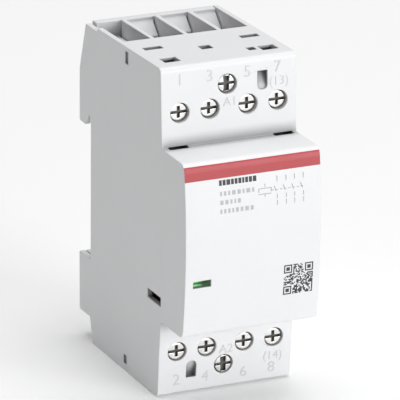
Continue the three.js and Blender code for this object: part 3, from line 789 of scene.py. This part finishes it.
class StageSettings(bpy.types.PropertyGroup):
    """The camera, lights and floor."""

    azimuth: angle("Azimuth", "The camera's turn round the case", -24.602)
    elevation: angle("Elevation", "The camera's height above level", 19.473)
    roll: angle("Roll", "The camera's turn about its own line of sight", 0.573)
    distance: length("Distance", "From the camera to the point it looks at", 1200.0)
    lens: number("Lens", "Focal length in millimetres", 437.1)
    key: number("Key light", "Power of the key light in watts", 24.0)
    top: number("Top light", "Power of the top light in watts", 30.0)
    ambient: number("Ambient", "Light that the surroundings throw", 0.12)
    mirrored: number("Mirrored", "Brightness seen in glossy parts", 0.9)
    floor: colour("Floor", "Colour of the floor", (0.93, 0.93, 0.93))


# ---- Pieces ---------------------------------------------------------------------------------


class CONTACTOR_OT_case(bpy.types.Operator):
    """Build the front housing, the rear base and the rail clip with its spring"""

    bl_idname = "contactor.case"
    bl_label = "Case and rail clip"

    def execute(self, context):
        looks = context.scene.contactor_case
        metal = context.scene.contactor_metal
        shell = finish(moulded_plastic, "housing_plastic_fine", looks.housing, 0.44, 3400.0)
        soft_piece("front_housing", looks.edge, shell)
        base = finish(moulded_plastic, "base_plastic_fine", looks.base, 0.5, 3000.0)
        soft_piece("rear_base", looks.edge, base)
        clip = finish(moulded_plastic, "clip_plastic_fine", looks.clip, 0.42, 2600.0)
        soft_piece("rail_clip", looks.edge, clip)
        wire = finish(drawn_wire, "spring_steel_drawn", metal.spring, 0.0)
        spring_piece("clip_spring", 1.1 * MM, 0.2 * MM, 6.5, "Z", wire,
                     CLIP_SPRING_SEAT)
        return {"FINISHED"}


def spring_piece(node, radius, wire_radius, turns, axis, material, seat):
    """A round-wire spring with closed ends in its CAD node's room."""
    low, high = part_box(node)
    middle = (low + high) / 2
    along = 2 if axis == "Z" else 1
    mesh = grown(tree(wound_tree), node, {
        "Radius": radius, "Wire Radius": wire_radius,
        "Length": high[along] - low[along] - 2 * wire_radius, "Turns": turns, "Closed Turns": 1.0,
        "Sides": 10, "Steps": 20, "Material": material,
    })
    start = Vector(middle)
    start[along] = low[along] + wire_radius
    if axis == "Z":
        mesh.transform(Matrix.Translation(start))
    else:
        mesh.transform(to_y_axis(start))
    piece = settle(link(mesh, f"{node}_piece"), body_of(node), material, [node])
    free_end = max((low[along], high[along]), key=lambda end: abs(end - seat))
    anchor = Vector(middle)
    anchor[along] = seat
    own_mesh(piece)
    return piece


class CONTACTOR_OT_screws(bpy.types.Operator):
    """Build the ten terminal screws, with turned heads and cut threads"""

    bl_idname = "contactor.screws"
    bl_label = "Terminal screws"

    def execute(self, context):
        metal = context.scene.contactor_metal
        plating = finish(plated_screw, "screw_plating", metal.screw)
        for row in ROWS:
            for pole in POLES:
                threaded_screw(f"terminal_screw_{row}_{pole}", metal, metal.pole_pitch, 1.5 * MM, plating)
            threaded_screw(f"coil_{row}_screw", metal, metal.coil_pitch, 1.15 * MM, plating)
        return {"FINISHED"}


def threaded_screw(node, metal, pitch, shank, plating):
    """A screw whose shank is cut down to the thread's root, with the ridge wound round it."""
    low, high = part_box(node)
    axis_x = (low.x + high.x) / 2
    axis_z = (low.z + high.z) / 2
    shape = soften(merged(node), metal.edge)
    neck = low.y + SCREW_HEAD
    root = shank - metal.thread_depth
    for vertex in shape.verts:
        x = vertex.co.x - axis_x
        z = vertex.co.z - axis_z
        if vertex.co.y > neck - MERGE and math.hypot(x, z) < shank * 1.03:
            vertex.co.x = axis_x + x * root / shank
            vertex.co.z = axis_z + z * root / shank
    mesh = mesh_of(shape, node)
    start = neck + 0.4 * MM
    stretch = high.y - 0.6 * MM - start
    half = metal.thread_depth
    ridge = grown(tree(wound_tree), node, {
        "Radius": root, "Wire Radius": half, "Length": stretch, "Turns": stretch / pitch,
        "Closed Turns": 0.0, "Sides": 4, "Steps": 20, "Material": plating,
    })
    ridge.transform(to_y_axis(Vector((axis_x, start, axis_z))))
    whole = bmesh.new()
    whole.from_mesh(mesh)
    whole.from_mesh(ridge)
    piece = shaded(link(mesh_of(whole, node), f"{node}_piece"))
    places = []
    for vertex in piece.data.vertices:
        places.extend((vertex.co.x - axis_x, vertex.co.y - low.y, vertex.co.z - axis_z))
    piece.data.attributes.new("from_axis", "FLOAT_VECTOR", "POINT").data.foreach_set("vector", places)
    return settle(piece, body_of(node), plating, [node])


class CONTACTOR_OT_terminals(bpy.types.Operator):
    """Build the clamp cages, the fixed contact bars and the coil's blades"""

    bl_idname = "contactor.terminals"
    bl_label = "Clamps and contact bars"

    def execute(self, context):
        metal = context.scene.contactor_metal
        zinc = finish(zinc_plate, "cage_zinc", metal.cage)
        copper = finish(brushed_copper, "contact_copper_rolled", metal.copper)
        for row in ROWS:
            for pole in POLES:
                soft_piece(f"clamp_cage_{row}_{pole}", metal.edge * 2, zinc)
                soft_piece(f"fixed_contact_{row}_{pole}", metal.edge, copper)
            soft_piece(f"coil_{row}_cage", metal.edge, zinc)
            soft_piece(f"coil_{row}_blade", metal.edge, copper)
        return {"FINISHED"}


class CONTACTOR_OT_print(bpy.types.Operator):
    """Print the band, the lines, the circuit diagram and the code field on the nose"""

    bl_idname = "contactor.print"
    bl_label = "Printing"

    def execute(self, context):
        looks = context.scene.contactor_print
        foil = finish(printed_ink, "band_ink", looks.band, 0.42)
        dark = finish(printed_ink, "dark_ink", looks.dark_ink, 0.5)
        grey = finish(printed_ink, "grey_ink", looks.grey_ink, 0.5)
        pale = finish(printed_ink, "pale_ink", tinted(looks.grey_ink, 1.35), 0.5)
        settle(link(band_mesh(looks), "front_band"), "case", foil)
        marks = {
            "type_row": ([stroke for row, stroke in rating_strokes() if row == 0], dark),
            "rating_rows": ([stroke for row, stroke in rating_strokes() if row > 0], pale),
            "circuit_diagram": (diagram_strokes(), grey),
            "code_corners": (corner_strokes(looks), dark),
        }
        for name, (strokes, ink) in marks.items():
            mesh = plates(name, strokes, looks.ink, ink)
            settle(link(mesh, name), "case", ink)
        settle(link(code_mesh(looks, dark), "code_field"), "case", dark)
        return {"FINISHED"}


def band_mesh(looks):
    """A thin closed strip that lies on the nose, over its rounded upper edge."""
    shape = bmesh.new()
    reach = HOUSING_BOX[1].x
    edge = 0.07 * MM
    across = [-reach + edge, -reach + 3 * edge] + [reach * step / 8 for step in range(-7, 8)]
    across += [reach - 3 * edge, reach - edge]
    steps = 14
    rise = looks.band_high - looks.band_low
    front = []
    back = []
    for row in range(steps + 1):
        z = looks.band_low + rise * row / steps
        y = face_at(0.0, z)
        front.append([shape.verts.new((x, y - looks.ink, z)) for x in across])
        back.append([shape.verts.new((x, y + looks.ink, z)) for x in across])
    last = len(across) - 1
    for row in range(steps):
        for column in range(last):
            shape.faces.new([front[row][column], front[row][column + 1],
                             front[row + 1][column + 1], front[row + 1][column]])
            shape.faces.new([back[row][column], back[row + 1][column],
                             back[row + 1][column + 1], back[row][column + 1]])
        shape.faces.new([front[row][0], front[row + 1][0], back[row + 1][0], back[row][0]])
        shape.faces.new([front[row][last], back[row][last], back[row + 1][last], front[row + 1][last]])
    for column in range(last):
        shape.faces.new([front[0][column], back[0][column], back[0][column + 1], front[0][column + 1]])
        shape.faces.new([front[steps][column], front[steps][column + 1],
                         back[steps][column + 1], back[steps][column]])
    bmesh.ops.recalc_face_normals(shape, faces=shape.faces)
    return mesh_of(shape, "front_band")


def rating_strokes():
    """A dark row and three pale rows of short blocks of uneven length, as (row, stroke)."""
    strokes = []
    draw = random.Random(11)
    for row, (z, start, end, tall, gap) in enumerate((
        (17.6, -9.0, 0.95, 1.35, 0.22), (14.9, -8.8, 0.2, 1.1, 0.5), (12.7, -8.8, -3.3, 1.1, 0.5),
        (10.5, -8.8, 0.2, 1.1, 0.5),
    )):
        x = start
        while x < end - 0.4:
            block = min(draw.uniform(0.45, 1.05), end - x)
            strokes.append((row, ((x + block / 2) * MM, z * MM, block * MM, tall * MM, 0.0)))
            x += block + gap
    return strokes


def diagram_strokes():
    """The coil's box and four make contacts joined by a dashed link."""
    line = 0.16 * MM
    strokes = []

    def stroke(x0, z0, x1, z1):
        run = math.hypot(x1 - x0, z1 - z0)
        parts = max(1, round(run / 1.6))
        turn = -math.atan2(z1 - z0, x1 - x0)
        for part in range(parts):
            share = (part + 0.5) / parts
            strokes.append((
                (x0 + (x1 - x0) * share) * MM, (z0 + (z1 - z0) * share) * MM,
                run / parts * MM + line * 0.9, line, turn,
            ))

    for x0, z0, x1, z1 in ((1.4, 13.4, 4.7, 13.4), (1.4, 14.8, 4.7, 14.8),
                           (1.4, 13.4, 1.4, 14.8), (4.7, 13.4, 4.7, 14.8),
                           (3.05, 14.8, 3.05, 15.9), (3.05, 13.4, 3.05, 12.3)):
        stroke(x0, z0, x1, z1)
    for x in (6.3, 8.7, 10.95, 13.3):
        stroke(x, 17.4, x, 15.2)
        stroke(x, 12.9, x, 9.9)
        stroke(x, 12.9, x - 0.75, 15.0)
    for x in (4.9, 5.9, 7.1, 8.2, 9.3, 10.4, 11.6, 12.6):
        stroke(x, 14.1, x + 0.5, 14.1)
    return strokes


def corner_strokes(looks):
    """The three nested squares that mark the code field's corners."""
    cell = looks.code_width / looks.code_cells
    inset = looks.code_width / 2 - 3.5 * cell
    strokes = []
    for side_x, side_z in ((-1, 1), (1, 1), (-1, -1)):
        x = looks.code_x + side_x * inset
        z = looks.code_z + side_z * inset
        for end in (-3, 3):
            strokes.append((x, z + end * cell, 7 * cell, cell, 0.0))
            strokes.append((x + end * cell, z, cell, 5 * cell, 0.0))
        strokes.append((x, z, 3 * cell, 3 * cell, 0.0))
    return strokes


def code_mesh(looks, ink):
    """The code's random cells, bent to the nose."""
    mesh = grown(tree(code_tree), "code_field", {
        "Width": looks.code_width, "Cells": looks.code_cells, "Seed": looks.code_seed, "Share": 0.5,
        "Thickness": looks.ink, "Corner Cells": 7.6, "Material": ink,
    })
    for vertex in mesh.vertices:
        x = looks.code_x + vertex.co.x
        z = looks.code_z + vertex.co.y
        vertex.co = (x, face_at(x, z) - vertex.co.z - looks.ink * 0.35, z)
    return mesh


class CONTACTOR_OT_numerals(bpy.types.Operator):
    """Raise the terminals' numbers on the shoulders"""

    bl_idname = "contactor.numerals"
    bl_label = "Terminal numbers"

    def execute(self, context):
        looks = context.scene.contactor_case
        # Painted shade: the numbers get a darker copy of the case plastic in place of the shading along their
        # raised edges.
        tone = finish(moulded_plastic, "numeral_plastic", looks.numerals, 0.5, 3400.0)
        tall = looks.numeral_height
        small = tall * 0.78
        marks = {
            "upper": (("1", -13.0, 39.7, tall), ("3", -5.1, 39.7, tall), ("5", 4.9, 39.6, tall),
                      ("7", 12.9, 39.9, tall), ("(13)", 13.3, 36.4, small), ("A1", 0.25, 32.7, small)),
            "lower": (("2", -13.0, -37.9, tall), ("4", -5.25, -38.0, tall), ("6", 5.1, -38.4, tall),
                      ("8", 12.7, -38.3, tall), ("(14)", 12.9, -35.1, small), ("A2", 0.15, -31.4, small)),
        }
        for row, entries in marks.items():
            shape = bmesh.new()
            for text, x, z, height in entries:
                shape.from_mesh(numeral_mesh(text, x * MM, z * MM, height, looks.numeral_relief))
            bmesh.ops.remove_doubles(shape, verts=shape.verts, dist=MERGE)
            piece = link(mesh_of(shape, f"numerals_{row}"), f"numerals_{row}")
            settle(piece, "case", tone)
        return {"FINISHED"}


def numeral_mesh(text, x, z, height, relief):
    """A raised number whose back is sunk in the shoulder."""
    letters = bpy.data.curves.new("numeral", "FONT")
    letters.body = text
    letters.align_x = "CENTER"
    letters.align_y = "CENTER"
    letters.size = height * 1.38
    letters.offset = -height * 0.012
    letters.extrude = relief
    letters.resolution_u = 3
    piece = link(letters, "numeral")
    bpy.context.view_layer.update()
    evaluated = piece.evaluated_get(bpy.context.evaluated_depsgraph_get())
    mesh = bpy.data.meshes.new_from_object(evaluated)
    bpy.data.objects.remove(piece)
    for vertex in mesh.vertices:
        across, up, out = vertex.co
        px = x + across
        pz = z + up
        vertex.co = (px, face_at(px, pz) - out, pz)
    return mesh


class CONTACTOR_OT_mechanism(bpy.types.Operator):
    """Build the contact carrier, its bridges and the springs"""

    bl_idname = "contactor.mechanism"
    bl_label = "Moving contacts"

    def execute(self, context):
        looks = context.scene.contactor_mechanism
        metal = context.scene.contactor_metal
        plastic = finish(filled_plastic, "carrier_filled", looks.carrier, 0.5)
        soft_piece("contact_carrier", INNER_EDGE, plastic)
        copper = finish(brushed_copper, "contact_copper_rolled", metal.copper)
        wire = finish(drawn_wire, "spring_steel_drawn", metal.spring, 0.0)
        for pole in POLES:
            soft_piece(f"contact_bridge_{pole}", metal.edge, copper)
            spring_piece(f"contact_spring_{pole}", 1.2 * MM, 0.22 * MM, 5.5, "Y", wire,
                         CONTACT_SPRING_SEAT)
        for side in ("left", "right"):
            spring_piece(f"return_spring_{side}", 1.9 * MM, 0.3 * MM, 5.5, "Y", wire,
                         RETURN_SPRING_SEAT)
        return {"FINISHED"}


class CONTACTOR_OT_magnet(bpy.types.Operator):
    """Build the magnet's core, armature, bobbin, winding, leads and rectifier board"""

    bl_idname = "contactor.magnet"
    bl_label = "Magnet and board"

    def execute(self, context):
        looks = context.scene.contactor_mechanism
        metal = context.scene.contactor_metal
        steel = finish(laminated_steel, "magnet_laminations", metal.magnet)
        soft_piece("magnet_core", INNER_EDGE, steel)
        soft_piece("armature", INNER_EDGE, steel)
        wire = finish(drawn_wire, "spring_steel_drawn", metal.spring, 0.0)
        soft_piece("armature_pin", 0.1 * MM, wire)
        plastic = finish(filled_plastic, "bobbin_filled", looks.bobbin, 0.45)
        soft_piece("coil_bobbin", INNER_EDGE, plastic)
        enamel = finish(drawn_wire, "winding_enamelled", metal.enamel, 0.6)
        winding_piece(enamel)
        for row in ROWS:
            soft_piece(f"coil_{row}_lead", 0.04 * MM, enamel)
        lacquer = finish(board_laminate, "board_lacquer", looks.board, (0.35, 0.28, 0.06), (0.7, 0.7, 0.68))
        soft_piece("rectifier_board", FINE_EDGE, lacquer)
        return {"FINISHED"}


def winding_piece(enamel):
    """The winding: a packed inside with a layer of separate turns laid round it."""
    low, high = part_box("coil_winding")
    wire = 0.21 * MM
    turns = round((high.y - low.y) / (wire * 2))
    mesh = grown(tree(winding_tree), "coil_winding", {
        "Width": high.x - low.x, "Height": high.z - low.z, "Corner": 2.2 * MM, "Wire Radius": wire,
        "Length": high.y - low.y - 2 * wire, "Turns": turns, "Material": enamel,
    })
    middle = (low + high) / 2
    mesh.transform(to_y_axis(Vector((middle.x, low.y + wire, middle.z))))
    shape = merged("coil_winding")
    shrink = 1 - 2 * wire / (high.x - low.x)
    for vertex in shape.verts:
        outer = abs(vertex.co.x - middle.x) > 12 * MM or abs(vertex.co.z - middle.z) > 9 * MM
        if outer:
            vertex.co.x = middle.x + (vertex.co.x - middle.x) * shrink
            vertex.co.z = middle.z + (vertex.co.z - middle.z) * shrink
    shape.from_mesh(mesh)
    piece = shaded(link(mesh_of(shape, "coil_winding"), "coil_winding_piece"), 60.0)
    return settle(piece, body_of("coil_winding"), enamel, ["coil_winding"])


class CONTACTOR_OT_indicator(bpy.types.Operator):
    """Build the indicator's window, flag and pin"""

    bl_idname = "contactor.indicator"
    bl_label = "Indicator"

    def execute(self, context):
        looks = context.scene.contactor_mechanism
        metal = context.scene.contactor_metal
        enamel = finish(flag_enamel, "flag_fields", looks.flag_on, looks.flag_off, (0.8, 0.8, 0.8))
        soft_piece("indicator_flag", FINE_EDGE, enamel)
        clear = finish(clear_window, "window_clear", looks.window)
        soft_piece("indicator_lens", FINE_EDGE, clear)
        wire = finish(drawn_wire, "spring_steel_drawn", metal.spring, 0.0)
        soft_piece("indicator_pin", FINE_EDGE, wire)
        return {"FINISHED"}


class CONTACTOR_OT_stage(bpy.types.Operator):
    """Set the floor, the lights, the surroundings and the camera"""

    bl_idname = "contactor.stage"
    bl_label = "Stage"

    def execute(self, context):
        looks = context.scene.contactor_stage
        shape = bmesh.new()
        bmesh.ops.create_grid(shape, x_segments=8, y_segments=8, size=4.0)
        bmesh.ops.translate(shape, verts=shape.verts, vec=(0.0, 0.0, FLOOR_HEIGHT))
        floor = link(mesh_of(shape, "floor"), "floor")
        floor.data.materials.append(finish(studio_floor, "floor_sweep", looks.floor))
        area_light("key_light", (0.75, -1.65, 0.35), 1.1, looks.key)
        area_light("top_light", (0.15, 0.1, 1.9), 1.6, looks.top)
        surroundings(looks.ambient, looks.mirrored)
        set_camera(looks)
        context.scene.view_settings.view_transform = "Standard"
        return {"FINISHED"}


def area_light(name, place, size, power):
    """A square soft light that faces the case."""
    lamp = bpy.data.lights.new(name, "AREA")
    lamp.energy = power
    lamp.size = size
    light = link(lamp, name)
    light.location = place
    light.rotation_euler = (-Vector(place)).to_track_quat("-Z", "Y").to_euler()


def surroundings(ambient, mirrored):
    """An even white world, which glossy parts see brighter than the light it throws."""
    world = bpy.data.worlds.new("studio")
    world.use_nodes = True
    world.node_tree.nodes.clear()
    sky = Graph(world.node_tree)
    thrown = sky.node("ShaderNodeLightPath", output="Is Diffuse Ray")
    strength = mirrored - thrown * (mirrored - ambient)
    light = sky.node("ShaderNodeBackground", {"Color": (1.0, 1.0, 1.0, 1.0), "Strength": strength})
    sky.node("ShaderNodeOutputWorld", {"Surface": light})
    bpy.context.scene.world = world


def set_camera(looks):
    """A long lens looking down at the case's front left corner."""
    target = Vector((1.223, -23.864, 1.153)) * MM
    back = Vector((
        math.sin(looks.azimuth) * math.cos(looks.elevation),
        -math.cos(looks.azimuth) * math.cos(looks.elevation),
        math.sin(looks.elevation),
    ))
    level = Vector((math.cos(looks.azimuth), math.sin(looks.azimuth), 0.0))
    upright = back.cross(level)
    right = level * math.cos(looks.roll) + upright * math.sin(looks.roll)
    up = upright * math.cos(looks.roll) - level * math.sin(looks.roll)
    turn = Matrix((right, up, back)).transposed().to_4x4()
    lens = bpy.data.cameras.new("camera")
    lens.lens = looks.lens
    lens.sensor_width = 36.0
    lens.clip_end = 20.0
    camera = link(lens, "camera")
    camera.matrix_world = Matrix.Translation(target + back * looks.distance) @ turn
    bpy.context.scene.camera = camera


# ---- Panel and start ------------------------------------------------------------------------

OPERATORS = (
    CONTACTOR_OT_case, CONTACTOR_OT_screws, CONTACTOR_OT_terminals, CONTACTOR_OT_print,
    CONTACTOR_OT_numerals, CONTACTOR_OT_mechanism, CONTACTOR_OT_magnet, CONTACTOR_OT_indicator,
    CONTACTOR_OT_stage,
)
SETTINGS = {
    "contactor_case": CaseSettings, "contactor_print": PrintSettings,
    "contactor_metal": MetalSettings, "contactor_mechanism": MechanismSettings,
    "contactor_stage": StageSettings,
}


class CONTACTOR_PT_panel(bpy.types.Panel):
    """Sizes, colours and steps of the contactor"""

    bl_label = "Contactor"
    bl_idname = "CONTACTOR_PT_panel"
    bl_space_type = "VIEW_3D"
    bl_region_type = "UI"
    bl_category = "Contactor"

    def draw(self, context):
        for name, group in SETTINGS.items():
            box = self.layout.box()
            box.label(text=group.__doc__)
            for prop in group.__annotations__:
                box.prop(getattr(context.scene, name), prop)
        for operator in OPERATORS:
            self.layout.operator(operator.bl_idname)


def register():
    for group in SETTINGS.values():
        bpy.utils.register_class(group)
    for name, group in SETTINGS.items():
        setattr(bpy.types.Scene, name, PointerProperty(type=group))
    for operator in OPERATORS:
        bpy.utils.register_class(operator)
    bpy.utils.register_class(CONTACTOR_PT_panel)


def unregister():
    bpy.utils.unregister_class(CONTACTOR_PT_panel)
    for operator in reversed(OPERATORS):
        bpy.utils.unregister_class(operator)
    for name in SETTINGS:
        delattr(bpy.types.Scene, name)
    for group in SETTINGS.values():
        bpy.utils.unregister_class(group)


def main():
    register()
    for operator in OPERATORS:
        family, step = operator.bl_idname.split(".")
        getattr(getattr(bpy.ops, family), step)()


if __name__ == "__main__":
    main()
